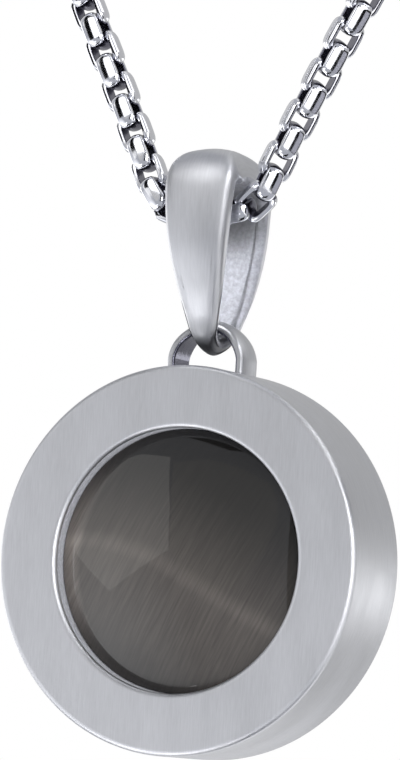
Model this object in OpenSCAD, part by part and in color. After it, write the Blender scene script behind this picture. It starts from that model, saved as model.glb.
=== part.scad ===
// Coin pendant: a steel drum that frames a domed stone, hung by a tapered bail on a round box chain.
// Millimetres, +Z up, the front faces -Y. The origin is at the nape, on the clasp's inner face.

/* [Case] */
// Diameter of the drum
case_d = 24; // [20:0.5:27]
// Thickness of the drum from front to back
case_t = 6.8; // [6:0.1:8]
// Diameter of the round window that frames the stone
window_d = 16.3; // [14:0.1:18]
// Bevel round the window
window_bevel = 0.3; // [0.1:0.05:0.4]
// Bevel round the drum's front and back edges
edge_bevel = 0.35; // [0.05:0.05:0.4]

/* [Stone] */
// How far the stone's edge lies below the front face
stone_drop = 1.05; // [0.7:0.05:1.4]
// Rise of the dome above the stone's edge
dome_h = 1.3; // [0.8:0.1:1.6]
// Height of the stone's straight edge in its seat
girdle_h = 1.6; // [1:0.1:2.4]
// Gap between the stone and its seat
stone_gap = 0.1; // [0.05:0.05:0.2]

/* [Loop] */
// Inner radius of the half ring on the rim
loop_in_r = 2.1; // [1.9:0.05:2.3]
// Thickness of the half ring's band
loop_t = 0.7; // [0.6:0.05:0.8]
// Width of the half ring's band from front to back
loop_w = 1.8; // [1.4:0.1:1.8]
// Height of the half ring's centre above the drum's centre
loop_rise = 12.25; // [12:0.05:12.3]
// How much slimmer the necks under the half ring are, on each side
neck_step = 0.12; // [0.05:0.01:0.18]

/* [Bail] */
// Thickness of the bail's strip at its sides
strip_t = 1.25; // [1:0.05:1.3]
// Thickness of the bail's strip in the crown
crown_t = 2.1; // [1.7:0.05:2.1]
// Thickness of the bail's strip in the curl that carries the loop
curl_t = 0.85; // [0.75:0.05:0.85]
// Drop from the chain's centre to the loop's wire
bail_drop = 7.1; // [7.05:0.05:7.15]

/* [Chain] */
// Width across the round box chain
chain_d = 2.1; // [1.8:0.05:2.1]
// Gap between the chain's ends and the clasp
chain_gap = 0.15; // [0.1:0.05:0.3]

/* [Clasp] */
// Length of the clasp's body
clasp_l = 12; // [10:0.5:13]
// Height of the clasp's body
clasp_h = 4.6; // [4:0.1:6]
// Thickness of the clasp's body
clasp_t = 2.4; // [2.2:0.1:2.8]

/* [Hidden] */

// Chain's centre inside the bail, which is the bail's hinge
hang = [0.25, -95, -148];
// How far the loop hangs behind the chain
loop_back = 0.95;
// How far the loop stands behind the drum's middle, over the centre of mass, so the drop hangs plumb
plumb = 0.34;

window_r = window_d / 2;
stone_r = window_r - stone_gap;
seat_depth = stone_drop + girdle_h + stone_gap;
dome_r = (stone_r * stone_r + dome_h * dome_h) / (2 * dome_h);
loop_r = loop_in_r + loop_t / 2;
wire_rise = loop_rise + loop_r;
drum_middle = hang + [0, loop_back - plumb, -bail_drop - wire_rise];
// Angle above the half ring's centre line at which its ends stop
ring_end = 9;
// How far the necks reach below the half ring's centre, into the rim
neck_l = 1.3;
collar_d = 2.2;
collar_l = 2;
clasp_end = clasp_l / 2 + collar_l;
nape_y = clasp_t / 2;

// Side view of the bail's outer face, counted from the hinge.
// Columns: back (+) or front (-), up, strip thickness
bail_side = [
    [0.9, -8.9, curl_t],
    [-0.73, -8.23, curl_t],
    [-1.45, -6.6, curl_t],
    [-2.2, -4.7, 1.1],
    [-2.9, -2.2, strip_t],
    [-3.1, 0.5, strip_t],
    [-2.85, 2.25, 1.45],
    [-1.7, 3.5, crown_t],
    [0.5, 3.85, crown_t],
    [2.6, 3.3, crown_t],
    [3.85, 1.7, 1.45],
    [4.15, -0.5, strip_t],
    [4.25, -2.9, strip_t],
    [3.9, -5.2, 1.1],
    [3.3, -6.7, curl_t],
    [2.53, -8.23, curl_t]
];
side_steps = 4;

// Front view of the bail. Columns: half width, height counted from the hinge
bail_front = [
    [0, -9], [0.35, -8.95], [0.55, -8.6], [0.92, -7.5], [1.52, -4.8], [2, -1.7], [2.2, 0.55],
    [2.24, 1.6], [2.18, 2.5], [1.98, 3.2], [1.6, 3.7], [0.9, 4], [0, 4.05]
];
front_steps = 3;

// Right half of the chain's centreline, from the bail to the nape.
// Columns: x, y, z, rings up to the next point
route = [
    [0, -95, -148, 1],
    [1.6, -95, -148, 1],
    [2.5, -95, -147.8, 1],
    [3.16, -95, -147.4, 1],
    [3.68, -95, -146.7, 1],
    [4.42, -95, -145.1, 1],
    [6.1, -95, -141.6, 2],
    [10, -94.8, -133.9, 2],
    [18, -93.1, -118.5, 2],
    [28, -90.2, -99.3, 2],
    [38, -86.3, -80, 2],
    [48, -80.6, -61, 3],
    [56, -72, -44, 3],
    [61, -60, -31, 3],
    [62, -46, -22, 3],
    [58, -31, -14, 3],
    [49, -18, -8, 3],
    [37, -8, -4, 3],
    [23, -1.4, -1, 2],
    [14, 0.9, -0.1, 1],
    [clasp_end + chain_gap, nape_y, 0, 0]
];
// Normal of the slanted plane in which the chain hangs, which keeps the tube's rings from twisting
hang_normal = [0, 0.84, -0.54];
chain_sides = 8;

// Catmull-Rom curve through four neighbouring points, t running from b to c
function curve(a, b, c, d, t) = 0.5 * (2 * b + (c - a) * t
    + (2 * a - 5 * b + 4 * c - d) * t * t
    + (3 * b - a - 3 * c + d) * t * t * t);

// Closed smooth line through a list of points
function closed_curve(p, steps) = [
    for (i = [0 : len(p) - 1], k = [0 : steps - 1])
        curve(p[(i + len(p) - 1) % len(p)], p[i], p[(i + 1) % len(p)], p[(i + 2) % len(p)], k / steps)
];

// Open smooth line through a list of points
function open_curve(p, steps) = [
    for (i = [0 : len(p) - 2], k = [0 : steps - 1])
        curve(p[max(i - 1, 0)], p[i], p[i + 1], p[min(i + 2, len(p) - 1)], k / steps),
    p[len(p) - 1]
];

// Unit vector
function unit(v) = v / norm(v);

// Inner line of the strip: each outer point moved inwards by its thickness
function inner_line(p) = [
    for (i = [0 : len(p) - 1])
        let (n = len(p), along = p[(i + 1) % n] - p[(i + n - 1) % n], flat = unit([along[0], along[1]]))
            [p[i][0], p[i][1]] + p[i][2] * [flat[1], -flat[0]]
];

// Outline of the loop's band, with rounded corners. w is the band's radial thickness, h its width
function band(w, h, r) = [
    for (corner = [0 : 3], k = [0 : 3])
        let (a = 90 * corner + 30 * k,
             cx = (corner == 0 || corner == 3 ? 1 : -1) * (w / 2 - r),
             cy = (corner < 2 ? 1 : -1) * (h / 2 - r))
            [cx + r * cos(a), cy + r * sin(a)]
];

// Outline with round ends, l long and h high
function capsule(l, h, n) = [
    for (side = [0, 1], k = [0 : n])
        let (a = 180 * side - 90 + 180 * k / n)
            [(side == 0 ? 1 : -1) * (l - h) / 2 + h / 2 * cos(a), h / 2 * sin(a)]
];

// Turns a shape drawn upwards so that it faces forwards
module face_front() {
    rotate([90, 0, 0]) children();
}

module drum() {
    half = case_t / 2;
    radius = case_d / 2;
    rotate_extrude($fn = 128)
        polygon([
            [0, -half],
            [radius - edge_bevel, -half],
            [radius, edge_bevel - half],
            [radius, half - edge_bevel],
            [radius - edge_bevel, half],
            [window_r + window_bevel, half],
            [window_r, half - window_bevel],
            [window_r, half - seat_depth],
            [0, half - seat_depth]
        ]);
}

module half_ring() {
    rotate([0, 0, ring_end])
        rotate_extrude(angle = 180 - 2 * ring_end, $fn = 64)
            translate([loop_r, 0]) polygon(band(loop_t, loop_w, 0.25));
}

module necks() {
    neck_top = loop_r * sin(ring_end) + 0.05;
    for (side = [-1, 1])
        translate([side * loop_r * cos(ring_end), 0, -neck_l])
            linear_extrude(neck_l + neck_top)
                polygon(band(loop_t - 2 * neck_step, loop_w - 2 * neck_step, 0.15));
}

module case() {
    color([0.72, 0.73, 0.75])
        union() {
            translate(drum_middle) face_front() drum();
            translate(drum_middle + [0, plumb, loop_rise]) {
                face_front() half_ring();
                necks();
            }
        }
}

module stone() {
    back = case_t / 2 - seat_depth + stone_gap;
    color([0.2, 0.19, 0.18])
        translate(drum_middle) face_front() translate([0, 0, back])
            intersection() {
                cylinder(r = stone_r, h = girdle_h + dome_h + 1, $fn = 128);
                translate([0, 0, girdle_h + dome_h - dome_r]) sphere(r = dome_r, $fn = 128);
            }
}

module bail() {
    outer = closed_curve(bail_side, side_steps);
    inner = inner_line(outer);
    right = open_curve(bail_front, front_steps);
    left = [for (i = [len(right) - 2 : -1 : 1]) [-right[i][0], right[i][1]]];
    width = 6;
    depth = 12;
    color([0.74, 0.75, 0.77])
        translate(hang)
            intersection() {
                rotate([90, 0, 90])
                    translate([0, 0, -width / 2])
                        linear_extrude(width)
                            difference() {
                                polygon([for (p = outer) [p[0], p[1]]]);
                                polygon(inner);
                            }
                translate([0, depth / 2, 0])
                    rotate([90, 0, 0])
                        linear_extrude(depth)
                            polygon(concat(right, left));
            }
}

// Points along the right half of the chain, with as many rings in each stretch as its row says
function half_route() = [
    for (i = [0 : len(route) - 2], k = [0 : route[i][3] - 1])
        let (p = curve(route[max(i - 1, 0)], route[i], route[i + 1], route[min(i + 2, len(route) - 1)],
                       k / route[i][3]))
            [p[0], p[1], p[2]],
    [for (k = [0 : 2]) route[len(route) - 1][k]]
];

// The whole centreline, from the clasp's left end round to its right end
function whole_route(half) = concat(
    [for (i = [len(half) - 1 : -1 : 1]) [-half[i][0], half[i][1], half[i][2]]],
    half
);

module chain() {
    line = whole_route(half_route());
    n = len(line);
    rings = [
        for (i = [0 : n - 1])
            let (along = unit(line[min(i + 1, n - 1)] - line[max(i - 1, 0)]),
                 side = unit(cross(along, hang_normal)),
                 up = cross(side, along))
                for (k = [0 : chain_sides - 1])
                    let (a = 360 * (k + 0.5) / chain_sides)
                        line[i] + chain_d / 2 * (cos(a) * side + sin(a) * up)
    ];
    walls = [
        for (i = [0 : n - 2], k = [0 : chain_sides - 1])
            let (a = i * chain_sides + k, b = i * chain_sides + (k + 1) % chain_sides)
                [a, b, b + chain_sides, a + chain_sides]
    ];
    first = [for (k = [chain_sides - 1 : -1 : 0]) k];
    last = [for (k = [0 : chain_sides - 1]) (n - 1) * chain_sides + k];
    color([0.85, 0.86, 0.88])
        polyhedron(points = rings, faces = concat(walls, [first, last]), convexity = 10);
}

module clasp() {
    slot_l = 6;
    slot_h = 1.6;
    color([0.85, 0.86, 0.88])
        translate([0, nape_y, 0])
            difference() {
                union() {
                    face_front()
                        translate([0, 0, -clasp_t / 2])
                            linear_extrude(clasp_t)
                                polygon(capsule(clasp_l, clasp_h, 16));
                    rotate([0, 90, 0])
                        translate([0, 0, -clasp_end])
                            cylinder(d = collar_d, h = 2 * clasp_end, $fn = 48);
                }
                face_front()
                    translate([0, 0, -clasp_t])
                        linear_extrude(2 * clasp_t)
                            polygon(capsule(slot_l, slot_h, 12));
            }
}

case();
stone();
bail();
chain();
clasp();
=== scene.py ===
"""Coin pendant on a round box chain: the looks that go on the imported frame."""

import math

import bmesh
import bpy
import numpy as np
from mathutils import Matrix, Vector


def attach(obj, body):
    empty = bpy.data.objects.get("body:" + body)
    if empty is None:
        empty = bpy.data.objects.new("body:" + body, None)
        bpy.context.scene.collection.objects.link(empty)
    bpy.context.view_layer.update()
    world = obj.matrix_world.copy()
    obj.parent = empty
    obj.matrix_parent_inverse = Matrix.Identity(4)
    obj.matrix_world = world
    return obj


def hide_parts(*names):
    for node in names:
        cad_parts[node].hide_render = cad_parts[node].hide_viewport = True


bl_info = {
    "name": "Coin pendant",
    "version": (1, 0, 0),
    "blender": (4, 5, 0),
    "location": "3D View > Sidebar > Pendant",
    "description": "Makes the pendant's pieces and its studio on the packed frame",
    "category": "Object",
}

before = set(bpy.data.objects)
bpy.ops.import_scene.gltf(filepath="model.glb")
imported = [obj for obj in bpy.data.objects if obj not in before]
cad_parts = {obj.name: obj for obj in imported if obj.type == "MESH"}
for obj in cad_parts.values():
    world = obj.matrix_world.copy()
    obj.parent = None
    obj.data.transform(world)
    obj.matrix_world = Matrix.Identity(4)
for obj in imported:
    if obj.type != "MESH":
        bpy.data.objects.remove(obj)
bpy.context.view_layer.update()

MM = 0.001

# Places that the source gives, in millimetres
HINGE = np.array([0.25, -95.0, -148.0])
DRUM_MIDDLE = np.array([0.25, -94.39, -169.8])
LOOP_CENTRE = DRUM_MIDDLE + [0, 0.34, 12.25]
NAPE_Y = 1.2
# Upright axis of the neck, back from the origin in metres
NECK_Y = -0.045
# The drum's front face and the window's floor, back from the drum's middle and from its front
FRONT = -3.4
WINDOW_DEPTH = 2.75

# Right half of the chain's centreline, from the bail to the clasp, in metres
ROUTE = MM * np.array([
    [0, -95, -148], [1.6, -95, -148], [2.5, -95, -147.8], [3.16, -95, -147.4], [3.68, -95, -146.7],
    [4.42, -95, -145.1], [6.1, -95, -141.6], [10, -94.8, -133.9], [18, -93.1, -118.5], [28, -90.2, -99.3],
    [38, -86.3, -80], [48, -80.6, -61], [56, -72, -44], [61, -60, -31], [62, -46, -22], [58, -31, -14],
    [49, -18, -8], [37, -8, -4], [23, -1.4, -1], [14, 0.9, -0.1], [8.15, 1.2, 0],
])
# How far from the bail the chain's lean reaches, and the links' turn about the chain on each side of it
SWAY_REACH = 12 * MM
TURN_LEFT, TURN_RIGHT = -6, 36
TURN_LENGTH = 10 * MM

# Side view of the bail's outer face from the hinge: back or front, up, strip thickness
BAIL_SIDE = np.array([
    [0.9, -8.9, 0.85], [-0.73, -8.23, 0.85], [-1.45, -6.6, 0.85], [-2.2, -4.7, 1.1], [-2.9, -2.2, 1.25],
    [-3.1, 0.5, 1.25], [-2.85, 2.25, 1.45], [-1.7, 3.5, 2.1], [0.5, 3.85, 2.1], [2.6, 3.3, 2.1],
    [3.85, 1.7, 1.45], [4.15, -0.5, 1.25], [4.25, -2.9, 1.25], [3.9, -5.2, 1.1], [3.3, -6.7, 0.85],
    [2.53, -8.23, 0.85],
])
# Front view of the bail from the hinge: half width, height
BAIL_FRONT = np.array([
    [0, -9], [0.35, -8.95], [0.55, -8.6], [0.92, -7.5], [1.52, -4.8], [2, -1.7], [2.2, 0.55],
    [2.24, 1.6], [2.18, 2.5], [1.98, 3.2], [1.6, 3.7], [0.9, 4], [0, 4.05],
])

# Painted sheen and shade of the stone: how bright it is along its fibres, within this many millimetres of
# its middle
GLOW_REACH = 8
# Rows of millimetres above the middle and share of the full light
GLOW = ((-7.8, 0.1), (-6.6, 0.18), (-5.6, 0.32), (-4.2, 0.42), (-2.2, 0.46), (-1.2, 0.48), (-0.8, 0.64),
        (-0.4, 0.64), (0.2, 0.38), (1.0, 0.34), (2.2, 0.22), (3.6, 0.12), (5.0, 0.05), (7.8, 0.02))
# Fall of the stone's bright band to the left, in millimetres for each square millimetre
GLOW_FALL = 0.04
# Painted light on the stone's edge at the left and below, over the lip's shadow:
# shift, radii where it starts and is full, share there
EDGE_LIGHT_SHIFT = (-1.2, 0, 0.3)
EDGE_LIGHT_START, EDGE_LIGHT_FULL, EDGE_LIGHT_SHARE = 7.9, 8.6, 2.6

# Painted shade at the bail's tip over the half ring, and painted shadow where the chain lies in the bail:
# middle, radius of the full mark, radius where it ends, its tone
RING_PAINTED_SHADE = (HINGE + [0, 0.3, -8.6], 1.1, 2.9, 0.5)
CHAIN_PAINTED_SHADOW = (HINGE + [0, 3, 0.1], 0.8, 3.1, 0.45)
# Nearly all of a noise texture lies between these values
NOISE_SPAN = {"From Min": 0.3, "From Max": 0.7}

# The camera's way up and to the right in its own picture plane, in metres
CAMERA_UP, CAMERA_RIGHT = 0.01131, 0.00012
# Soft boxes, reflectors and black flags that the steel and the stone mirror: name, distance from the drum's
# middle in metres, strength, corners as azimuth (0 in front, 90 to the right) and elevation in degrees
PANELS = (
    ("softbox.left", 0.7, 1.12, (
        (-66, 17), (-66, 7), (-61.6, 5.5), (-45.6, -5.3), (-26.9, 5), (-28.6, 15.7), (-33.8, 28.5),
        (-44.2, 27.7))),
    ("softbox.right", 0.7, 0.6, (
        (-31.7, 27.2), (-28.2, 15.8), (-26.4, 5), (-19.9, -2.5), (-12.5, -6.2), (-6.7, -4.8), (1.8, 5.8),
        (4.4, 13.3), (4.1, 19.7), (0.5, 25), (-8.8, 28.3), (-20.8, 29.7))),
    ("softbox.back", 0.9, 0.57, ((108, -23), (215, -23), (215, 35), (108, 35))),
    ("softbox.back_top", 0.9, 0.85, ((108, 36), (215, 36), (215, 80), (108, 80))),
    ("softbox.back_low", 0.9, 1.6, ((108, -24), (215, -24), (215, -52), (108, -52))),
    ("softbox.far_left", 0.6, 2.0, ((-80, -20), (-135, -20), (-135, 8), (-80, 8))),
    ("softbox.far_left_top", 0.6, 0.7, ((-80, 8.5), (-135, 8.5), (-135, 45), (-80, 45))),
    ("softbox.far_right", 0.6, 1.5, ((42, -30), (104, -30), (104, 12), (42, 12))),
    ("bounce.back", 0.5, 0.75, ((45, -42), (225, -42), (225, -80), (45, -80))),
    ("bounce.left", 0.5, 1.0, ((-140, -45), (-62, -45), (-62, -80), (-140, -80))),
    ("flag.low", 0.45, 0.0, ((-60, -44), (60, -44), (60, -84), (-60, -84))),
    ("flag.top", 0.62, 0.0, ((-75, 33), (-45, 34), (-15, 33), (25, 28), (25, 44), (-75, 46))),
    ("flag.right", 0.62, 0.0, ((9, -10), (24, -12), (24, 30), (8, 28))),
)
# Lamps: name, target in millimetres, azimuth, elevation, then distance, width and height in metres, watts
LAMPS = (
    ("light.top", DRUM_MIDDLE, 330, 48, 0.8, 0.5, 0.3, 0.85),
    ("light.side", DRUM_MIDDLE, 112, 48, 0.8, 0.4, 0.4, 0.6),
    ("light.back", DRUM_MIDDLE, 155, -4, 0.85, 0.5, 0.17, 0.42),
    ("light.low", DRUM_MIDDLE, 335, -38.5, 0.7, 0.5, 0.1, 0.3),
    ("light.near", DRUM_MIDDLE, 322, -50, 0.09, 0.05, 0.05, 0.02),
    ("light.bevel", HINGE, 66, 22, 0.06, 0.02, 0.03, 0.035),
    ("light.inside", DRUM_MIDDLE, 32, 6, 0.5, 0.2, 0.2, 1.2),
    ("light.eye", HINGE + [0, 3, -4.5], 0, 0, 0.0036, 0.0022, 0.005, 0.0002),
)
# Small cards beside the chain's arms, slanted like them, which draw dark and bright stripes in the links:
# name, target, azimuth, elevation, distance, width, height, slant in degrees, colour, strength
LEFT_ARM, RIGHT_ARM = DRUM_MIDDLE + [-6.5, 0, 29], DRUM_MIDDLE + [6.5, 0, 29]
CARDS = (
    ("card.left", LEFT_ARM + [0, 0, 3], 315, 14, 0.025, 0.0125, 0.027, 23, "#101012", 0.0),
    ("card.left_white", LEFT_ARM, 352, 28, 0.025, 0.021, 0.022, 27, "#ffffff", 1.1),
    ("card.right", RIGHT_ARM + [0, 0, 4], 82, -24, 0.025, 0.029, 0.03, -8, "#101012", 0.0),
    ("card.core", RIGHT_ARM, 83, -23, 0.023, 0.0115, 0.022, -8, "#c0c0c8", 0.0),
    ("card.right_white", RIGHT_ARM, 35, -5, 0.03, 0.018, 0.032, -26, "#ffffff", 1.1),
)


def linear(hex_code):
    """Linear colour of an sRGB hex value: c / 12.92 up to 0.04045, else ((c + 0.055) / 1.055)^2.4."""
    srgb = np.array([int(hex_code[i:i + 2], 16) for i in (1, 3, 5)]) / 255
    rgb = np.where(srgb <= 0.04045, srgb / 12.92, ((srgb + 0.055) / 1.055) ** 2.4)
    return (*(float(c) for c in rgb), 1.0)


def catmull_rom(points, steps, closed=False):
    """Uniform Catmull-Rom curve through the points.

    From b to c it is half of 2b + (c - a)t + (2a - 5b + 4c - d)t^2 + (3b - a - 3c + d)t^3.
    """
    p = np.asarray(points, float)
    if closed:
        a, b, c, d = np.roll(p, 1, 0), p, np.roll(p, -1, 0), np.roll(p, -2, 0)
    else:
        q = np.vstack([p[:1], p, p[-1:]])
        a, b, c, d = q[:-3], q[1:-2], q[2:-1], q[3:]
    a, b, c, d = (v[:, None, :] for v in (a, b, c, d))
    t = (np.arange(steps) / steps)[None, :, None]
    squared, cubed = 2 * a - 5 * b + 4 * c - d, 3 * b - a - 3 * c + d
    line = (0.5 * (2 * b + (c - a) * t + squared * t ** 2 + cubed * t ** 3)).reshape(-1, p.shape[1])
    return line if closed else np.vstack([line, p[-1:]])


def unit(v):
    """Each vector divided by its length."""
    return v / np.linalg.norm(v, axis=-1, keepdims=True)


def run_length(points, closed=False):
    """Distance walked along a line of points, with the closing stretch last where it is closed."""
    p = np.vstack([points, points[:1]]) if closed else points
    return np.concatenate([[0], np.cumsum(np.linalg.norm(np.diff(p, axis=0), axis=1))])


def inward(line):
    """Unit normal of a closed flat line: left of its way, turned to point inside by the sign of its area."""
    along = unit(np.roll(line, -1, 0) - np.roll(line, 1, 0))
    x, y = line.T
    area = np.sum(x * np.roll(y, -1) - y * np.roll(x, -1))
    return np.sign(area) * np.stack([-along[:, 1], along[:, 0]], 1)


def turned(line, turns):
    """Points of a profile of radius and height carried round an axis: r cos a, height, r sin a."""
    a = np.linspace(0, 2 * np.pi, turns, endpoint=False)[:, None]
    radius, height = line.T[:, None]
    return np.stack([radius * np.cos(a), np.broadcast_to(height, (turns, len(line))), radius * np.sin(a)], 2)


def grid_mesh(name, points, uv=None, flip=False, close_u=True, close_v=True, parts=None):
    """Mesh over a grid of points, or over many like grids, with parts giving each quad's material.

    Quad (i, j) joins the points i and i + 1 along u and j and j + 1 along v, wrapping where closed. uv holds
    one more row and column than the points where they wrap, so that a pattern has a clean seam.
    """
    grids = points if points.ndim == 4 else points[None]
    count, nu, nv = grids.shape[:3]
    i, j = np.indices((nu if close_u else nu - 1, nv if close_v else nv - 1))
    di, dj = np.array([0, 1, 1, 0]), np.array([0, 0, 1, 1])
    if flip:
        di, dj = dj, di
    ii, jj = i[..., None] + di, j[..., None] + dj
    quads = ((ii % nu) * nv + jj % nv).reshape(-1, 4)
    faces = (quads[None] + (np.arange(count) * nu * nv)[:, None, None]).reshape(-1, 4)
    mesh = bpy.data.meshes.new(name)
    mesh.vertices.add(count * nu * nv)
    mesh.vertices.foreach_set("co", np.ascontiguousarray(grids, np.float32).ravel())
    mesh.loops.add(faces.size)
    mesh.loops.foreach_set("vertex_index", faces.ravel().astype(np.int32))
    mesh.polygons.add(len(faces))
    mesh.polygons.foreach_set("loop_start", np.arange(0, faces.size, 4, dtype=np.int32))
    if parts is not None:
        slots = np.broadcast_to(parts(i, j), i.shape).ravel()
        mesh.polygons.foreach_set("material_index", np.tile(slots, count).astype(np.int32))
    if uv is not None:
        corners = np.tile(uv[ii, jj].reshape(-1, 2), (count, 1)).astype(np.float32)
        mesh.uv_layers.new(name="brush").data.foreach_set("uv", corners.ravel())
    mesh.update(calc_edges=True)
    return mesh


def join_meshes(name, *meshes):
    """One mesh that holds all the given ones, with doubles on seams and poles merged."""
    bm = bmesh.new()
    bm.loops.layers.uv.new("brush")
    for m in meshes:
        bm.from_mesh(m)
        bpy.data.meshes.remove(m)
    bmesh.ops.remove_doubles(bm, verts=bm.verts, dist=1e-7)
    mesh = bpy.data.meshes.new(name)
    bm.to_mesh(mesh)
    bm.free()
    return mesh


def new_object(name, data):
    """Puts a mesh, a light or a camera into the scene as an object of that name."""
    obj = bpy.data.objects.new(name, data)
    bpy.context.scene.collection.objects.link(obj)
    return obj


def add_piece(name, mesh, materials, body, node, sharp=40):
    """Puts a mesh into the scene as a smooth piece that rides on a body and stands for a CAD node."""
    obj = new_object(name, mesh)
    for m in materials:
        mesh.materials.append(m)
    mesh.shade_smooth()
    mesh.set_sharp_from_angle(angle=np.radians(sharp))
    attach(obj, body)
    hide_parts(node)


def rounded(profile, radii, steps=4, support=0.03):
    """Open line whose corners are cut at their radius and bent, by (1-t)^2 a + 2t(1-t) b + t^2 c.

    A support point just before and after each bend keeps the flats flat.
    """
    p = np.asarray(profile, float)
    line = [p[:1]]
    for a, b, c, r in zip(p[:-2], p[1:-1], p[2:], radii):
        if r == 0:
            line.append(b[None])
            continue
        before, after = unit(a - b), unit(c - b)
        start, end = b + r * before, b + r * after
        t = np.linspace(0, 1, steps + 1)[:, None]
        bend = (1 - t) ** 2 * start + 2 * t * (1 - t) * b + t ** 2 * end
        line += [(start + support * before)[None], bend, (end + support * after)[None]]
    return np.vstack([*line, p[-1:]])


def band_section(edge, steps, mids):
    """Outline of a strip's cross-section: rows of side, depth and the rounding's offsets in millimetres.

    Side goes from -1 to 1 and depth from 0 outside to 1 inside. The outer face runs from left to right
    between quarter circles, edge (1 - sin t) in and edge (1 - cos t) down, and the inner face runs back.
    """
    t = np.linspace(0, np.pi / 2, steps + 1)
    support = 1.6 * edge

    def corner(side):
        across, down = -side * edge * (1 - np.sin(t)), edge * (1 - np.cos(t))
        return np.stack([np.full_like(t, side), 0 * t, across, down], 1)

    flat = np.zeros((mids, 4))
    flat[:, 0] = np.linspace(-1, 1, mids + 2)[1:-1]
    outer = np.vstack([corner(-1)[::-1], [[-1, 0, support, 0]], flat, [[1, 0, -support, 0]], corner(1)])
    inner = outer[::-1] * [1, 1, 1, -1] + [0, 1, 0, 0]
    return np.vstack([outer, inner])


def inner_face(section):
    """1 for the stretches of a cross-section that run along its inner face, 0 for the others."""
    depth = section[:, 1]
    return ((depth == 1) & (np.roll(depth, -1) == 1)).astype(int)


def strip_ring(outer, inner, half_out, half_in, section, crown):
    """Points of a strip round a ring in a plane: outer + depth (inner - outer), side times half its width.

    Its outer face rises in the middle by crown (1 - side^2). The axes are the plane's two and across.
    """
    side, depth, off_side, off_depth = (section[:, k][None, :] for k in range(4))
    thick = np.linalg.norm(inner - outer, axis=1)[:, None]
    q = depth + off_depth / thick
    half = half_out[:, None] + np.clip(q, 0, 1) * (half_in - half_out)[:, None]
    across = side * half + off_side
    share = across / np.maximum(half, 1e-6)
    q = q + (1 - depth) * crown * share ** 2 / thick
    flat = outer[:, None, :] + q[..., None] * (inner - outer)[:, None, :]
    return np.concatenate([flat, across[..., None]], 2)


def strip_brush(along, section_line):
    """Brush map of a strip: distance along it, and distance round its cross-section, in millimetres."""
    run = run_length(section_line, closed=True)
    return np.stack(np.broadcast_arrays(along[:, None], run[None]), 2)


def add_node(tree, kind, values=None, links=None, **options):
    """Adds one node, with its options, the values of its inputs and the sockets that feed them."""
    n = tree.nodes.new(kind)
    for key, value in options.items():
        setattr(n, key, value)
    for key, value in (values or {}).items():
        n.inputs[key].default_value = value
    for key, socket in (links or {}).items():
        tree.links.new(socket, n.inputs[key])
    return n


def new_material(name, values):
    """A material with one Principled shader that has these values; returns it, its tree and the shader."""
    m = bpy.data.materials.new(name)
    m.use_nodes = True
    shader = m.node_tree.nodes["Principled BSDF"]
    for key, value in values.items():
        shader.inputs[key].default_value = value
    return m, m.node_tree, shader


def tone_and_painted_shade(tree, shader, colour, tone, middle, full, end, least):
    """Colours the steel, and paints a soft dark patch of shade in a corner where little light reaches.

    The colour is multiplied by the tone and by the painted shade, which is least within the full radius, 1
    from the end radius on, and a smooth step between them.
    """
    place = add_node(tree, "ShaderNodeTexCoord").outputs["Object"]
    away = add_node(tree, "ShaderNodeVectorMath", {1: tuple(MM * middle)}, {0: place}, operation="DISTANCE")
    mark = add_node(tree, "ShaderNodeMapRange",
                    {"From Min": full * MM, "From Max": end * MM, "To Min": least},
                    {"Value": away.outputs["Value"]}, interpolation_type="SMOOTHSTEP")
    dark = add_node(tree, "ShaderNodeMath", links={0: tone, 1: mark.outputs["Result"]}, operation="MULTIPLY")
    shade = add_node(tree, "ShaderNodeVectorMath", {0: colour[:3]}, {"Scale": dark.outputs["Value"]},
                     operation="SCALE")
    tree.links.new(shade.outputs["Vector"], shader.inputs["Base Color"])


def brushed_steel(name, colour, roughness, line=0.09, length=1.6, depth=0.006, cloud=(9, 2.2)):
    """316L stainless steel drawn over with a fine abrasive belt.

    The scratches run along the first direction of the piece's brush map. They are a few hundredths of a
    millimetre apart, and are drawn about a tenth apart, as fine as the render can show.
    """
    m, tree, shader = new_material(name, {"Base Color": colour, "Metallic": 1.0, "Roughness": roughness})
    place = add_node(tree, "ShaderNodeUVMap", uv_map="brush").outputs["UV"]
    stretched = add_node(tree, "ShaderNodeMapping", {"Scale": (1 / length, 1 / line, 1)}, {"Vector": place})
    scratch = add_node(tree, "ShaderNodeTexNoise", {"Scale": 1.0, "Detail": 3.0, "Roughness": 0.65},
                       {"Vector": stretched.outputs["Vector"]}, noise_dimensions="2D")
    # the belt's pressure changes over patches of some millimetres, and the gloss with it
    cloudy = add_node(tree, "ShaderNodeMapping", {"Scale": (1 / cloud[0], 1 / cloud[1], 1)},
                      {"Vector": place})
    patch = add_node(tree, "ShaderNodeTexNoise", {"Scale": 1.0, "Detail": 2.0},
                     {"Vector": cloudy.outputs["Vector"]}, noise_dimensions="2D")
    bump = add_node(tree, "ShaderNodeBump", {"Strength": 1.0, "Distance": depth * MM},
                    {"Height": scratch.outputs["Fac"]})
    rough = add_node(tree, "ShaderNodeMapRange",
                     {**NOISE_SPAN, "To Min": roughness - 0.05, "To Max": roughness + 0.05},
                     {"Value": patch.outputs["Fac"]})
    tint = add_node(tree, "ShaderNodeMapRange", {**NOISE_SPAN, "To Min": 0.95, "To Max": 1.045},
                    {"Value": scratch.outputs["Fac"]})
    # painted shade darkens the satin at the bail's tip, the half ring's top and the drum's top between them
    tone_and_painted_shade(tree, shader, colour, tint.outputs["Result"], *RING_PAINTED_SHADE)
    tree.links.new(rough.outputs["Result"], shader.inputs["Roughness"])
    tree.links.new(bump.outputs["Normal"], shader.inputs["Normal"])
    return m


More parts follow.
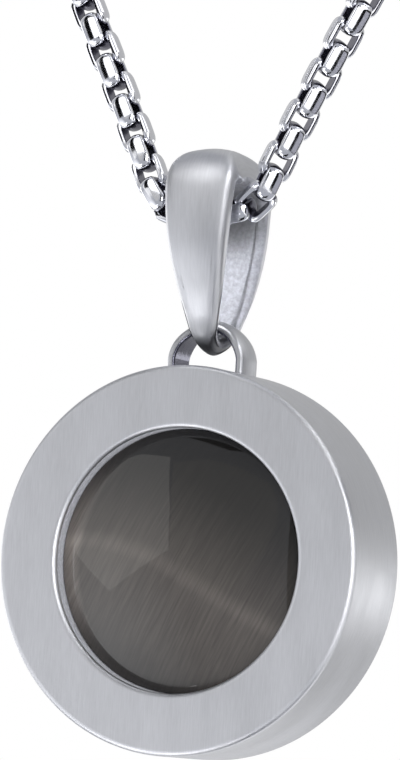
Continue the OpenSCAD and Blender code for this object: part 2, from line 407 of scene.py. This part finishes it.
def polished_steel(name, colour, roughness, wave=0.9, depth=0.008):
    """316L stainless steel tumbled to a mirror finish, with faint waves that break up its reflections."""
    m, tree, shader = new_material(name, {"Base Color": colour, "Metallic": 1.0, "Roughness": roughness})
    place = add_node(tree, "ShaderNodeTexCoord").outputs["Object"]
    waves = add_node(tree, "ShaderNodeTexNoise", {"Scale": 1 / (wave * MM), "Detail": 2.0},
                     {"Vector": place})
    bump = add_node(tree, "ShaderNodeBump", {"Strength": 1.0, "Distance": depth * MM},
                    {"Height": waves.outputs["Fac"]})
    rough = add_node(tree, "ShaderNodeMapRange", {
        "From Min": 0.35, "From Max": 0.65, "To Min": roughness * 0.8, "To Max": roughness * 1.3},
        {"Value": waves.outputs["Fac"]})
    tree.links.new(rough.outputs["Result"], shader.inputs["Roughness"])
    tree.links.new(bump.outputs["Normal"], shader.inputs["Normal"])
    return m


def plain_steel(name, colour, roughness, grain, mottle):
    """316L stainless steel that no wheel reaches, with a fine grain that breaks up its reflections.

    Inside the bail and on the window's wall it keeps its cast skin, and inside the links and the half ring
    it is painted dark as shade.
    """
    m, tree, shader = new_material(name, {"Base Color": colour, "Metallic": 1.0, "Roughness": roughness})
    place = add_node(tree, "ShaderNodeTexCoord").outputs["Object"]
    skin = add_node(tree, "ShaderNodeTexNoise", {"Scale": 1 / (grain * MM), "Detail": 3.0, "Roughness": 0.6},
                    {"Vector": place})
    bump = add_node(tree, "ShaderNodeBump", {"Strength": 1.0, "Distance": 0.06 * grain * MM},
                    {"Height": skin.outputs["Fac"]})
    tint = add_node(tree, "ShaderNodeMapRange", {**NOISE_SPAN, "To Min": 1 - mottle, "To Max": 1 + mottle},
                    {"Value": skin.outputs["Fac"]})
    # painted shadow darkens the bail's back leaf and the links where the chain passes through it
    tone_and_painted_shade(tree, shader, colour, tint.outputs["Result"], *CHAIN_PAINTED_SHADOW)
    tree.links.new(bump.outputs["Normal"], shader.inputs["Normal"])
    return m


def cat_eye_glass(name, light, lean, thread=(0.14, 0.6, 3.5)):
    """Fibre-optic cat's-eye glass, ground to a dome and polished.

    Parallel fibres under the clear surface show as fine slanted threads, and one soft band of sheen across
    them, with the shade around it, is painted into the colour. The threads are about 0.1 mm thick, and are
    drawn 0.14 mm apart to show.
    """
    m, tree, shader = new_material(name, {
        "Metallic": 0.0, "Roughness": 0.35, "IOR": 1.52, "Specular IOR Level": 0.17,
        "Coat Weight": 1.0, "Coat Roughness": 0.02, "Coat IOR": 1.52})
    place = add_node(tree, "ShaderNodeTexCoord").outputs["Object"]
    centred = add_node(tree, "ShaderNodeMapping", {"Location": tuple(-MM * DRUM_MIDDLE)}, {"Vector": place})
    centred = centred.outputs["Vector"]
    # turned about the pendant's front to back axis so that Z runs along the fibres
    along = add_node(tree, "ShaderNodeVectorRotate", {"Angle": lean}, {"Vector": centred},
                     rotation_type="Y_AXIS").outputs["Vector"]
    thin = add_node(tree, "ShaderNodeMapping", {"Scale": tuple(1 / (size * MM) for size in thread)},
                    {"Vector": along})
    threads = add_node(tree, "ShaderNodeTexNoise", {"Scale": 1.0, "Detail": 3.0, "Roughness": 0.6},
                       {"Vector": thin.outputs["Vector"]})
    # the bright band falls away to the left, by the square of the distance from the middle
    parts = add_node(tree, "ShaderNodeSeparateXYZ", links={"Vector": along})
    leftward = add_node(tree, "ShaderNodeMath", {1: 0.0}, {0: parts.outputs["X"]}, operation="MINIMUM")
    square = add_node(tree, "ShaderNodeMath", {1: 2.0}, {0: leftward.outputs["Value"]}, operation="POWER")
    bent = add_node(tree, "ShaderNodeMath", {1: GLOW_FALL / MM},
                    {0: square.outputs["Value"], 2: parts.outputs["Z"]}, operation="MULTIPLY_ADD")
    reach = add_node(tree, "ShaderNodeMapRange", {"From Min": -GLOW_REACH * MM, "From Max": GLOW_REACH * MM},
                     {"Value": bent.outputs["Value"]})
    ramp = add_node(tree, "ShaderNodeValToRGB", links={"Fac": reach.outputs["Result"]})
    stops = ramp.color_ramp.elements
    for height, value in GLOW:
        stop = stops.new((height + GLOW_REACH) / (2 * GLOW_REACH))
        stop.color = (value, value, value, 1)
    stops.remove(stops[0])
    stops.remove(stops[-1])
    ramp.color_ramp.interpolation = "B_SPLINE"
    streak = add_node(tree, "ShaderNodeMapRange", {**NOISE_SPAN, "To Min": 0.72, "To Max": 1.22},
                      {"Value": threads.outputs["Fac"]})
    amount = add_node(tree, "ShaderNodeMath", links={0: ramp.outputs["Color"], 1: streak.outputs["Result"]},
                      operation="MULTIPLY")
    # painted light lifts the stone's edge at the left and below, over the shadow of the window's wall
    low_left = add_node(tree, "ShaderNodeMapping", {"Location": tuple(MM * v for v in EDGE_LIGHT_SHIFT)},
                        {"Vector": centred})
    flat = add_node(tree, "ShaderNodeVectorMath", {1: (1, 0, 1)}, {0: low_left.outputs["Vector"]},
                    operation="MULTIPLY")
    away = add_node(tree, "ShaderNodeVectorMath", links={0: flat.outputs["Vector"]}, operation="LENGTH")
    edge = add_node(tree, "ShaderNodeMapRange", {
        "From Min": EDGE_LIGHT_START * MM, "From Max": EDGE_LIGHT_FULL * MM, "To Min": 1.0, "To Max": EDGE_LIGHT_SHARE},
        {"Value": away.outputs["Value"]})
    amount = add_node(tree, "ShaderNodeMath", links={0: amount.outputs["Value"], 1: edge.outputs["Result"]},
                      operation="MULTIPLY")
    shade = add_node(tree, "ShaderNodeVectorMath", {0: light[:3]}, {"Scale": amount.outputs["Value"]},
                     operation="SCALE")
    tree.links.new(shade.outputs["Vector"], shader.inputs["Base Color"])
    return m


def length_mm(name, description, mm):
    """A length, its default given in millimetres."""
    return bpy.props.FloatProperty(name=name, description=description, default=mm * MM, unit="LENGTH")


def angle_deg(name, description, degrees):
    """An angle, its default given in degrees."""
    turn = np.radians(degrees)
    return bpy.props.FloatProperty(name=name, description=description, default=turn, subtype="ANGLE")


def colour_hex(name, description, hex_code):
    """A colour, its default given as an sRGB hex value."""
    return bpy.props.FloatVectorProperty(
        name=name, description=description, default=linear(hex_code), size=4, subtype="COLOR")


def roughness_share(name, description, default, least):
    """A roughness between its least value and 1."""
    return bpy.props.FloatProperty(
        name=name, description=description, default=default, min=least, max=1, subtype="FACTOR")


class StudioSettings(bpy.types.PropertyGroup):
    """Camera and light of the studio."""

    yaw: angle_deg("Yaw", "How far the camera stands to the right of the front", 25.2)
    pitch: angle_deg("Pitch", "Camera's height above the horizon, below it where negative", -4.3)
    roll: angle_deg("Roll", "Turn of the picture about its middle", 3.4)
    distance: length_mm("Distance", "From the camera to the drum's middle", 359)
    lens: bpy.props.FloatProperty(name="Lens", description="Focal length", default=276.1, unit="CAMERA")
    surround: colour_hex("Surroundings", "Pale walls of the studio", "#b9bbc1")
    floor: colour_hex("Floor", "Colour of the pale floor", "#f2f2f2")


class SteelSettings(bpy.types.PropertyGroup):
    """The finishes of the steel."""

    satin: colour_hex("Satin steel", "Colour of the brushed steel", "#c3c4c8")
    satin_rough: roughness_share("Satin roughness", "How far brushing spreads a reflection", 0.43, 0.05)
    bright: colour_hex("Polished steel", "Colour of the polished steel", "#e2e3e8")
    bright_rough: roughness_share("Polished roughness", "How far polish spreads a reflection", 0.12, 0.01)
    cast: colour_hex("Cast steel", "Colour inside the bail and of the window's wall", "#d0d1d6")
    # painted shade: this dark colour stands for shade inside the links and the half ring
    dark: colour_hex("Darkened steel", "Colour inside the links and the half ring", "#6c6c78")


class CaseSettings(bpy.types.PropertyGroup):
    """Sizes of the drum and its half ring."""

    radius: length_mm("Drum radius", "From the drum's middle to its rim", 12)
    depth: length_mm("Drum depth", "From the drum's front to its back", 6.8)
    window: length_mm("Window radius", "Radius of the round window", 8.15)
    window_bevel: length_mm("Window lip", "Rounding of the window's lip", 0.32)
    edge: length_mm("Edge rounding", "Rounding of the drum's two edges", 0.35)
    ring_radius: length_mm("Half ring radius", "To the middle of the half ring's band", 2.45)
    ring_thick: length_mm("Half ring thickness", "Thickness of the half ring's band", 0.7)
    ring_crown: length_mm("Half ring crown", "Rise of the band's outer face to its middle", 0.26)
    ring_width: length_mm("Half ring width", "Width of the half ring's band", 1.8)


class StoneSettings(bpy.types.PropertyGroup):
    """Size and colours of the cabochon."""

    radius: length_mm("Stone radius", "Radius of the cabochon", 8.11)
    dome: length_mm("Dome", "Rise of the dome above its edge", 1.3)
    drop: length_mm("Drop", "How far the stone's edge lies below the front", 1.05)
    girdle: length_mm("Girdle", "Height of the stone's straight edge", 1.6)
    light: colour_hex("Threads in light", "Colour where the fibres catch light", "#66605b")
    lean: angle_deg("Lean of the threads", "Turn of the fibres from upright", -28)


class ChainSettings(bpy.types.PropertyGroup):
    """Sizes of one link of the round box chain."""

    pitch: length_mm("Pitch", "Distance from one link's middle to the next", 1.4245)
    length: length_mm("Link length", "Length of a link over its ends", 2.38)
    across: length_mm("Link width", "Width of a link over its two legs", 2.13)
    strip: length_mm("Strip width", "Width of the strip in a link's legs", 1.15)
    strip_end: length_mm("Strip width at ends", "Width of the strip in a link's end bars", 0.9)
    thick: length_mm("Strip thickness", "Thickness of the strip", 0.44)
    slide: length_mm("Slide", "How far the links beside the bail stand from even places", 1.19)
    sway: length_mm("Sway", "How far the chain leans to the left beside the bail", 0.2)
    near_half: length_mm("Fine stretch", "Length of finely meshed links on each side of the bail", 24)


def finishes():
    """The steel's finishes, made once and then reused: brushed, polished, cast, and darkened as painted
    shade.
    """
    s = bpy.context.scene.pendant_steel
    recipes = (
        ("steel.satin_brushed", brushed_steel, s.satin, s.satin_rough, {}),
        ("steel.mirror_polished", polished_steel, s.bright, s.bright_rough, {}),
        ("steel.cast_skin", plain_steel, s.cast, 1.0, {"grain": 0.25, "mottle": 0.12}),
        ("steel.solder_darkened", plain_steel, s.dark, 0.22, {"grain": 0.3, "mottle": 0.05}),
    )
    return [bpy.data.materials.get(name) or finish(name, tuple(colour), rough, **more)
            for name, finish, colour, rough, more in recipes]


class PENDANT_OT_studio(bpy.types.Operator):
    """Adds the camera, the floor, the pale surroundings and the soft lights"""

    bl_idname = "pendant.studio"
    bl_label = "Studio"

    def execute(self, context):
        scene, s = context.scene, context.scene.pendant_studio
        self.camera(scene, s)
        self.surround(scene, s)
        self.floor(s)
        for row in PANELS:
            self.panel(*row)
        for name, target, *stand, width, height, power in LAMPS:
            self.lamp(name, self.aim(target, *stand), width, height, power)
        low_left = self.aim(DRUM_MIDDLE, azimuth=309, elevation=-21, distance=0.12)
        self.glow("glow.fill", low_left, radius=0.07, strength=1.35)
        for name, target, *stand, width, height, slant, colour, strength in CARDS:
            place = self.aim(target, *stand) @ Matrix.Rotation(math.radians(slant), 4, "Z")
            self.card(name, place, width, height, self.cloth(colour, strength))
        return {"FINISHED"}

    @staticmethod
    def camera(scene, s):
        """A long lens at the photograph's angle.

        The camera moves in its own picture plane to frame the pendant, so no lens shift is needed.
        """
        flat = math.cos(s.pitch)
        back = Vector((math.sin(s.yaw) * flat, -math.cos(s.yaw) * flat, math.sin(s.pitch)))
        level = Vector((math.cos(s.yaw), math.sin(s.yaw), 0))
        plumb = back.cross(level)
        right = math.cos(s.roll) * level + math.sin(s.roll) * plumb
        up = math.cos(s.roll) * plumb - math.sin(s.roll) * level
        camera = new_object("camera", bpy.data.cameras.new("camera"))
        camera.data.lens = s.lens
        camera.data.clip_start = 0.01
        camera.data.clip_end = 50
        stand = Vector(MM * DRUM_MIDDLE) + s.distance * back + CAMERA_UP * up + CAMERA_RIGHT * right
        camera.matrix_world = Matrix.Translation(stand) @ Matrix((right, up, back)).transposed().to_4x4()
        scene.camera = camera
        scene.view_settings.view_transform = "Standard"

    @staticmethod
    def aim(target, azimuth, elevation, distance):
        """Place at that azimuth and elevation in degrees from a target in millimetres, turned to face it."""
        a, e = math.radians(azimuth), math.radians(elevation)
        away = Vector((math.sin(a) * math.cos(e), -math.cos(a) * math.cos(e), math.sin(e)))
        turn = away.to_track_quat("Z", "Y").to_matrix().to_4x4()
        return Matrix.Translation(Vector(MM * target) + distance * away) @ turn

    @staticmethod
    def surround(scene, s):
        """The camera sees a white room, and the metal sees pale grey walls."""
        world = bpy.data.worlds.new("studio")
        world.use_nodes = True
        scene.world = world
        tree = world.node_tree
        walls = tree.nodes["Background"]
        walls.inputs["Color"].default_value = s.surround
        white = add_node(tree, "ShaderNodeBackground", {"Color": (1, 1, 1, 1), "Strength": 1.0})
        path = add_node(tree, "ShaderNodeLightPath")
        mix = add_node(tree, "ShaderNodeMixShader",
                       links={0: path.outputs["Is Camera Ray"], 1: walls.outputs[0], 2: white.outputs[0]})
        tree.links.new(mix.outputs[0], tree.nodes["World Output"].inputs["Surface"])

    @staticmethod
    def disc(name, radius, corners):
        """A flat round mesh: one face through points at the radius and even angles."""
        a = np.linspace(0, 2 * np.pi, corners, endpoint=False)
        mesh = bpy.data.meshes.new(name)
        mesh.from_pydata(np.stack([radius * np.cos(a), radius * np.sin(a), 0 * a], 1).tolist(), [],
                         [list(range(corners))])
        return mesh

    def floor(self, s, radius=3.0, height=-1.2):
        """A pale round floor well below the hanging pendant and all its lights."""
        mesh = self.disc("floor", radius, corners=96)
        mesh.transform(Matrix.Translation((0, 0, height)))
        paper, _, _ = new_material("paper.matte_white", {
            "Base Color": s.floor, "Roughness": 0.9, "Specular IOR Level": 0.2})
        mesh.materials.append(paper)
        obj = new_object("floor", mesh)
        obj.visible_glossy = False

    def panel(self, name, distance, strength, corners):
        """A flat panel that the steel and the stone mirror.

        Each corner's direction is carried to the plane that stands square to their mean, at the distance.
        """
        a, e = np.radians(np.array(corners, float)).T
        away = np.stack([np.sin(a) * np.cos(e), -np.cos(a) * np.cos(e), np.sin(e)], 1)
        points = distance * away / (away @ unit(away.mean(0)))[:, None]
        mesh = bpy.data.meshes.new(name)
        mesh.from_pydata(points.tolist(), [], [list(range(len(points)))])
        place = Matrix.Translation(Vector(MM * DRUM_MIDDLE))
        self.off_camera(name, mesh, self.cloth("#000000", strength), place)

    def card(self, name, place, width, height, cloth):
        """A small flat rectangular card."""
        w, h = width / 2, height / 2
        mesh = bpy.data.meshes.new(name)
        mesh.from_pydata([(-w, -h, 0), (w, -h, 0), (w, h, 0), (-w, h, 0)], [], [[0, 1, 2, 3]])
        self.off_camera(name, mesh, cloth, place)

    def glow(self, name, place, radius, strength):
        """A round glow that hides nothing behind it and fades to its edge, as strength (1 - r / radius)."""
        mat, tree, _ = new_material("cloth.fading", {})
        spot = add_node(tree, "ShaderNodeTexCoord").outputs["Object"]
        scaled = add_node(tree, "ShaderNodeMapping", {"Scale": (1 / radius, 1 / radius, 1)},
                          {"Vector": spot})
        fade = add_node(tree, "ShaderNodeTexGradient", links={"Vector": scaled.outputs["Vector"]},
                        gradient_type="SPHERICAL")
        power = add_node(tree, "ShaderNodeMath", {1: strength}, {0: fade.outputs["Fac"]},
                         operation="MULTIPLY")
        light = add_node(tree, "ShaderNodeEmission", links={"Strength": power.outputs["Value"]})
        clear = add_node(tree, "ShaderNodeBsdfTransparent")
        both = add_node(tree, "ShaderNodeAddShader", links={0: light.outputs[0], 1: clear.outputs[0]})
        tree.links.new(both.outputs[0], tree.nodes["Material Output"].inputs["Surface"])
        self.off_camera(name, self.disc(name, radius, corners=48), mat, place)

    @staticmethod
    def cloth(colour, strength):
        """Matte card, or cloth with a lamp behind it where it has a strength."""
        return new_material("cloth.lit" if strength else "card.matte", {
            "Base Color": linear(colour), "Emission Color": (1, 1, 1, 1), "Emission Strength": strength,
            "Roughness": 1.0, "Specular IOR Level": 0.0})[0]

    @staticmethod
    def off_camera(name, mesh, mat, place):
        """Stage equipment that no camera sees directly."""
        mesh.materials.append(mat)
        obj = new_object(name, mesh)
        obj.matrix_world = place
        obj.visible_camera = False

    @staticmethod
    def lamp(name, place, width, height, power):
        """A rectangular soft light."""
        data = bpy.data.lights.new(name, "AREA")
        data.shape = "RECTANGLE"
        data.size = width
        data.size_y = height
        data.energy = power
        obj = new_object(name, data)
        obj.matrix_world = place
        obj.visible_camera = False


class PENDANT_OT_case(bpy.types.Operator):
    """Adds the drum with its softly rounded edges and the half ring soldered on its rim"""

    bl_idname = "pendant.case"
    bl_label = "Case"

    def execute(self, context):
        c = context.scene.pendant_case
        satin, _, cast, dark = finishes()
        add_piece("drum", self.drum(c), [satin, cast], "drop", "case")
        # the half ring's inner face takes the dark finish, painted shade
        add_piece("half_ring", self.half_ring(c), [satin, dark], "drop", "case")
        return {"FINISHED"}

    @staticmethod
    def drum(c, turns=256):
        """Turned shape: a profile of radius and depth, with the window sunk into it, round the axis."""
        r, half, w = c.radius / MM, c.depth / MM / 2, c.window / MM
        bottom = WINDOW_DEPTH - half
        # the point half a millimetre from the lip keeps the front flat
        profile = [[0, half], [r, half], [r, -half], [w + 0.5, -half], [w, -half], [w, bottom], [0, bottom]]
        foot_bend = 0.05
        line = rounded(profile, [c.edge / MM, c.edge / MM, 0, c.window_bevel / MM, foot_bend], steps=5)
        points = turned(line, turns)
        # the faces are brushed upright, and the rim round its circle
        wrapped = np.concatenate([points, points[:1]], 0)
        angle = np.linspace(0, 2 * np.pi, turns + 1)[:, None]
        on_rim = (np.abs(line[:, 0] - r) < 1e-6)[None]
        uv = np.stack([np.where(on_rim, angle * r, wrapped[..., 2]),
                       np.where(on_rim, run_length(line)[None], wrapped[..., 0])], 2)
        # no wheel reaches the window's wall
        on_wall = (np.abs(line[:, 0] - w) < 1e-6) & (line[:, 1] > -half)
        mesh = grid_mesh("drum", MM * (points + DRUM_MIDDLE), uv, close_v=False,
                         parts=lambda i, j: on_wall[j].astype(int))
        return join_meshes("drum", mesh)

    @staticmethod
    def half_ring(c, steps=64, sunk=1.3, flare=0.25, flare_start=1.2):
        """A band with a crowned face along a path: out of the rim, over in a half circle and down again.

        Its face is lower by crown side^2 towards its edges, and each half of its width grows by
        flare (3u^2 - 2u^3), with u from 0 to 1 over the millimetre beyond the flare's start.
        """
        radius, thick, width = c.ring_radius / MM, c.ring_thick / MM, c.ring_width / MM
        # the half circle's ends, above the level of its centre
        end = np.radians(9)
        t = np.linspace(end, np.pi - end, steps)
        arc = radius * np.stack([np.cos(t), np.sin(t)], 1)
        foot = np.array([[arc[0, 0], -sunk], [arc[0, 0], 0.2], [arc[0, 0], arc[0, 1] - 0.02]])
        path = np.vstack([foot, arc, (foot * [-1, 1])[::-1]])
        out = unit(np.vstack([[[1, 0]] * 3, arc, [[-1, 0]] * 3]))
        u = np.clip(np.abs(path[:, :1]) - flare_start, 0, 1)
        section = band_section(edge=0.14, steps=4, mids=7)
        side, depth, dx, dq = section.T
        half_w = width / 2 + flare * u * u * (3 - 2 * u)
        across = side * half_w + dx
        crown = c.ring_crown / MM * (1 - depth) * (across / half_w) ** 2
        radial = thick / 2 * (1 - 2 * depth) - dq - crown
        flat = path[:, None, :] + radial[..., None] * out[:, None, :]
        points = np.stack([flat[..., 0], across, flat[..., 1]], 2)
        mid = len(path) // 2
        uv = strip_brush(run_length(path), np.stack([across[mid], radial[mid]], 1))
        inside = inner_face(section)
        mesh = grid_mesh("half_ring", MM * (points + LOOP_CENTRE), uv, close_u=False,
                         parts=lambda i, j: inside[j])
        return join_meshes("half_ring", mesh)


class PENDANT_OT_stone(bpy.types.Operator):
    """Adds the cat's-eye cabochon in the window"""

    bl_idname = "pendant.stone"
    bl_label = "Stone"

    def execute(self, context):
        s = context.scene.pendant_stone
        glass = cat_eye_glass("cat_eye_glass.polished", tuple(s.light), s.lean)
        add_piece("cabochon", self.cabochon(s), [glass], "drop", "stone")
        return {"FINISHED"}

    @staticmethod
    def cabochon(s, turns=192, rings=40):
        """Turned shape: a cap of a sphere, a softly rounded edge, a straight girdle and a flat back."""
        r, dome = s.radius / MM, s.dome / MM
        ball = (r * r + dome * dome) / (2 * dome)
        front = FRONT + s.drop / MM
        back = front + s.girdle / MM
        t = np.linspace(0, np.arcsin(r / ball), rings)
        cap = np.stack([ball * np.sin(t), front - dome + ball * (1 - np.cos(t))], 1)
        below = np.array([[r, front], [r, back], [0, back]])
        edge = rounded(np.vstack([cap[-2:-1], below]), radii=[0.08, 0.1], support=0.02)
        points = turned(np.vstack([cap[:-2], edge]), turns)
        mesh = grid_mesh("cabochon", MM * (points + DRUM_MIDDLE), flip=True, close_v=False)
        return join_meshes("cabochon", mesh)


class PENDANT_OT_bail(bpy.types.Operator):
    """Adds the tapered bail, a closed strip of satin steel with a crowned face"""

    bl_idname = "pendant.bail"
    bl_label = "Bail"

    def execute(self, context):
        satin, _, cast, _ = finishes()
        add_piece("bail_strip", self.strip(), [satin, cast], "bail", "bail")
        return {"FINISHED"}

    @staticmethod
    def strip(steps=12):
        """A strip between an outer closed curve and the same curve moved inwards by its thickness.

        Its half width at each height is read off the bail's front outline.
        """
        line = catmull_rom(BAIL_SIDE, steps, closed=True)
        outer = line[:, :2]
        inner = outer + line[:, 2:] * inward(outer)
        front = catmull_rom(BAIL_FRONT, steps)
        half_out, half_in = (np.interp(z, front[:, 1], front[:, 0]) for z in (outer[:, 1], inner[:, 1]))
        section = band_section(edge=0.4, steps=6, mids=7)
        flat = strip_ring(outer, inner, half_out, half_in, section, crown=0.22)
        points = np.stack([flat[..., 2], flat[..., 0], flat[..., 1]], 2)
        # a row of the curve on the bail's top
        top = 100
        uv = strip_brush(run_length(outer, closed=True), flat[top][:, [0, 2]])
        inside = inner_face(section)
        mesh = grid_mesh("bail_strip", MM * (points + HINGE), uv, parts=lambda i, j: inside[j])
        return join_meshes("bail_strip", mesh)


class PENDANT_OT_chain(bpy.types.Operator):
    """Adds the links of the round box chain, finely meshed beside the bail and lighter elsewhere"""

    bl_idname = "pendant.chain"
    bl_label = "Chain"

    def execute(self, context):
        c = context.scene.pendant_chain
        _, polished, _, dark = finishes()
        centre, along, front, from_bail = self.places(c)
        odd = (np.arange(len(centre)) % 2).astype(bool)[:, None]
        # every second link is turned by a quarter, so that it grips the two beside it
        across = np.where(odd, np.cross(along, front), front)
        wide = np.cross(along, across)
        near = np.abs(from_bail) < c.near_half
        fine = band_section(edge=0.06, steps=2, mids=5)
        for name, chosen, steps, section in (
                ("chain_links_near", near, 32, fine), ("chain_links_far", ~near, 12, self.plain_section())):
            link = self.link(c, steps, section)
            middle, x, y, z = (v[chosen][:, None, None, :] for v in (centre, along, across, wide))
            points = middle + link[None, ..., 0:1] * x + link[None, ..., 1:2] * y + link[None, ..., 2:3] * z
            # the dark finish paints shade inside each link and on its end bars
            inner = inner_face(section) == 1
            ends = np.abs(np.sin(2 * np.pi * (np.arange(steps) + 1) / steps)) < 0.5
            mesh = grid_mesh(name, points, parts=lambda i, j: (inner[j] | ends[i]).astype(int))
            add_piece(name, mesh, [polished, dark], "necklace", "chain", sharp=50)
        return {"FINISHED"}

    @staticmethod
    def plain_section():
        """Six-sided strip: rows of side, depth and no rounding."""
        flat = [[-1, 0], [0, 0], [1, 0], [1, 1], [0, 1], [-1, 1]]
        return np.hstack([flat, np.zeros((len(flat), 2))])

    @staticmethod
    def link(c, steps, section, power=4):
        """One link in metres: a strip between two superellipses, wider in its legs than in its ends.

        Along the link it is the half length times cos^(2 / power), and across it the half width times
        sin^(2 / power).
        """
        size = np.array([c.length, c.across]) / MM / 2
        t = np.linspace(0, 2 * np.pi, steps, endpoint=False) + np.pi / steps
        wave = np.stack([np.cos(t), np.sin(t)], 1)
        shape = np.sign(wave) * np.abs(wave) ** (2 / power)
        half = (c.strip_end + (c.strip - c.strip_end) * np.abs(np.sin(t)) ** 2) / MM / 2
        return MM * strip_ring(shape * size, shape * (size - c.thick / MM), half, half, section, crown=0.15)

    @staticmethod
    def places(c):
        """Middles of the links along the mirrored route, with the way along it and a front direction.

        The places are even but for a slide of slide (1 - u^2), with u from -1 to 1 along the chain, and the
        route leans by sway exp(-(d / reach)^2), with d the distance from the bail. Front is the way out from
        the neck's axis, square to the chain and turned about it. The turn eases over inside the bail.
        """
        right = catmull_rom(ROUTE, steps=24)
        whole = np.vstack([(right * [-1, 1, 1])[::-1], right[1:]])
        run = run_length(whole)
        whole[:, 0] -= c.sway * np.exp(-((run - run[-1] / 2) / SWAY_REACH) ** 2)
        count = int(round(run[-1] / c.pitch))
        at = (np.arange(count) + 0.5) * run[-1] / count
        at = at + c.slide * (1 - (2 * at / run[-1] - 1) ** 2)
        # the way along runs between points this far behind and ahead
        step = 0.35 * c.pitch
        centre, ahead, behind = (np.stack([np.interp(place, run, whole[:, k]) for k in range(3)], 1)
                                 for place in (at, at + step, at - step))
        along = unit(ahead - behind)
        out = centre - np.stack([0 * at, 0 * at + NECK_Y, centre[:, 2]], 1)
        out = unit(out - np.sum(out * along, 1, keepdims=True) * along)
        from_bail = at - run[-1] / 2
        ease = np.clip(from_bail / TURN_LENGTH + 0.5, 0, 1)
        turn = np.radians(TURN_LEFT + ease * (TURN_RIGHT - TURN_LEFT))[:, None]
        front = np.cos(turn) * out + np.sin(turn) * np.cross(along, out)
        return centre, along, front, from_bail


class PENDANT_OT_clasp(bpy.types.Operator):
    """Adds the plain clasp at the nape"""

    bl_idname = "pendant.clasp"
    bl_label = "Clasp"

    def execute(self, context):
        _, polished, _, _ = finishes()
        mesh = join_meshes("clasp_body", self.body(), self.collar(1), self.collar(-1))
        add_piece("clasp_body", mesh, [polished], "necklace", "clasp")
        return {"FINISHED"}

    @staticmethod
    def capsule(length, height, steps=33):
        """Closed outline of two half circles joined by straight sides."""
        t = np.linspace(-np.pi / 2, np.pi / 2, steps)
        cap = height / 2 * np.stack([np.cos(t), np.sin(t)], 1) + [(length - height) / 2, 0]
        return np.vstack([cap, -cap])

    def body(self, half_thick=1.2):
        """A flat ring between a long outer outline and a short slot, with rounded edges."""
        outer, inner = self.capsule(length=12, height=4.6), self.capsule(length=6, height=1.6)
        half = np.full(len(outer), half_thick)
        flat = strip_ring(outer, inner, half, half, band_section(edge=0.35, steps=5, mids=1), crown=0)
        points = np.stack([flat[..., 0], flat[..., 2] + NAPE_Y, flat[..., 1]], 2)
        return grid_mesh("clasp_body", MM * points, flip=True)

    @staticmethod
    def collar(way, turns=48):
        """Turned cap at the clasp's end with an open mouth for the chain, carried round the X axis."""
        profile = [[0, 5.5], [1.1, 5.5], [1.1, 8.0], [0.98, 8.0], [0.98, 7.0], [0, 7.0]]
        line = rounded(profile, radii=[0, 0.15, 0.04, 0.1], support=0.02)
        points = turned(line, turns)[..., [1, 0, 2]] * [way, 1, 1] + [0, NAPE_Y, 0]
        return grid_mesh("collar", MM * points, flip=way < 0, close_v=False)


class PENDANT_PT_panel(bpy.types.Panel):
    """Lists the pendant's pieces and their settings"""

    bl_idname = "PENDANT_PT_panel"
    bl_label = "Coin pendant"
    bl_space_type = "VIEW_3D"
    bl_region_type = "UI"
    bl_category = "Pendant"

    def draw(self, context):
        for name, operator in STEPS:
            box = self.layout.box()
            box.operator(operator)
            group = getattr(context.scene, name, None)
            if group:
                for key in group.bl_rna.properties.keys():
                    if key not in {"rna_type", "name"}:
                        box.prop(group, key)


# Settings and operator of each step, as the panel lists them; the clasp has no settings
STEPS = (
    ("pendant_studio", "pendant.studio"),
    ("pendant_case", "pendant.case"),
    ("pendant_stone", "pendant.stone"),
    ("pendant_steel", "pendant.bail"),
    ("pendant_chain", "pendant.chain"),
    ("pendant_clasp", "pendant.clasp"),
)
SETTINGS = {
    "pendant_studio": StudioSettings,
    "pendant_steel": SteelSettings,
    "pendant_case": CaseSettings,
    "pendant_stone": StoneSettings,
    "pendant_chain": ChainSettings,
}
CLASSES = (*SETTINGS.values(), PENDANT_OT_studio, PENDANT_OT_case, PENDANT_OT_stone, PENDANT_OT_bail,
           PENDANT_OT_chain, PENDANT_OT_clasp, PENDANT_PT_panel)


def register():
    for cls in CLASSES:
        bpy.utils.register_class(cls)
    for name, group in SETTINGS.items():
        setattr(bpy.types.Scene, name, bpy.props.PointerProperty(type=group))


def unregister():
    for name in SETTINGS:
        delattr(bpy.types.Scene, name)
    for cls in reversed(CLASSES):
        bpy.utils.unregister_class(cls)


def main():
    register()
    bpy.ops.pendant.studio()
    bpy.ops.pendant.case()
    bpy.ops.pendant.stone()
    bpy.ops.pendant.bail()
    bpy.ops.pendant.chain()
    bpy.ops.pendant.clasp()


if __name__ == "__main__":
    main()
